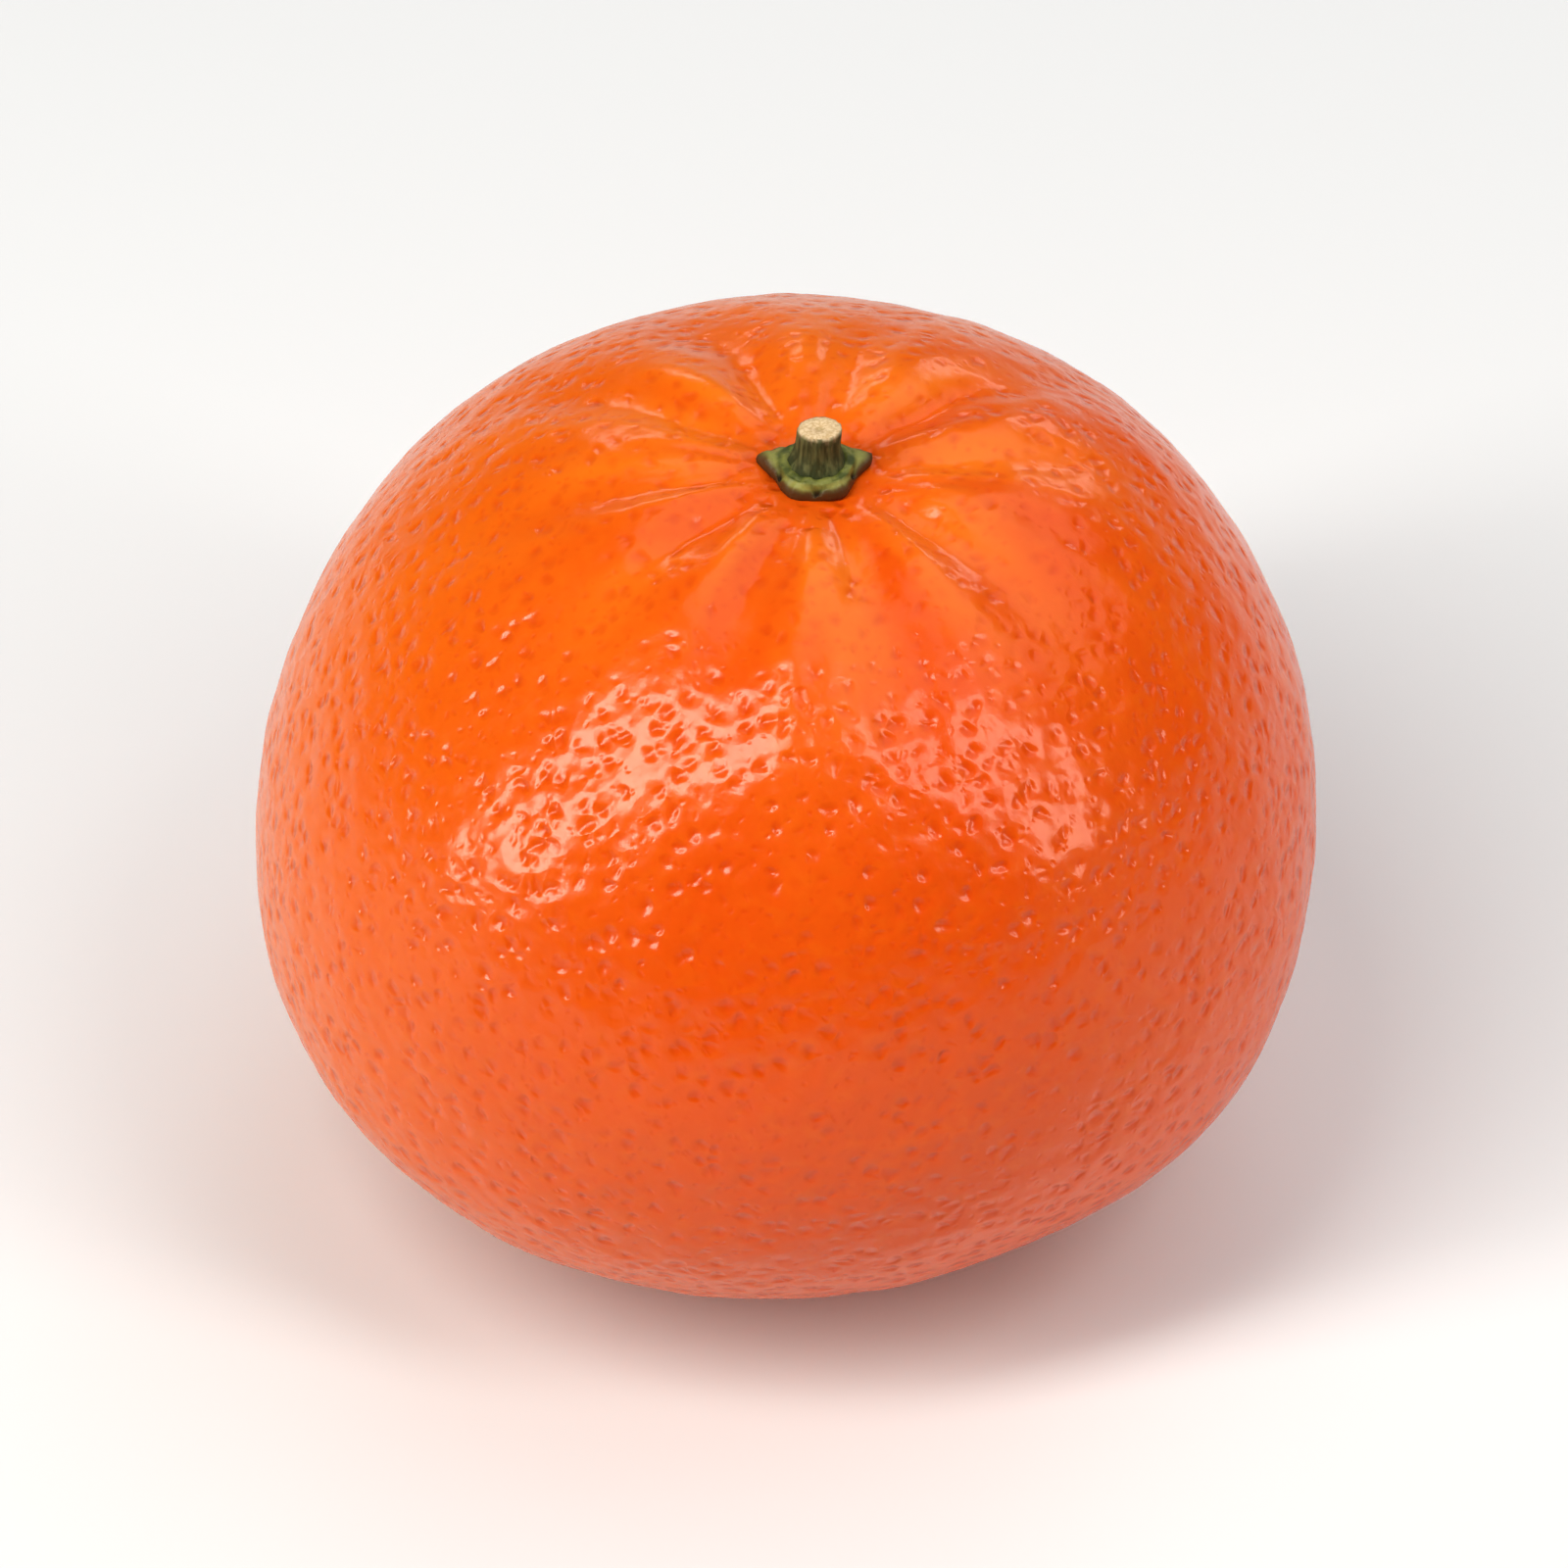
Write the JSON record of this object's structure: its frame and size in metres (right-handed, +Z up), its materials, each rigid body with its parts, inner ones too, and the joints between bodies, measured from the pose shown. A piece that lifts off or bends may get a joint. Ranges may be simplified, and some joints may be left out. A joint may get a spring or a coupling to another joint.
{
  "type": "mandarin",
  "caption": "Whole fresh mandarin: an orange, slightly flattened fruit with a furrowed crown, a green star-shaped calyx and a short cut stem, standing on its blossom end.",
  "frame": {"origin": "on the surface that the fruit stands on, in the middle of the whole object's bounding box", "axes": "+Z up from the blossom end to the stem end; +X is the side that the stem end leans towards by about 2 mm; +Y completes the right-handed frame"},
  "size_m": [0.0656, 0.0652, 0.0559],
  "materials": {
    "peel": "semi-gloss waxy citrus peel with fine oil-gland pits",
    "calyx_green": "matte green sepals with brown tips",
    "stem_green": "matte green bark with a cream cut face"
  },
  "bodies": {
    "root": {"fruit": "peel", "calyx": "calyx_green", "stem_stub": "stem_green"}
  },
  "joints": []
}
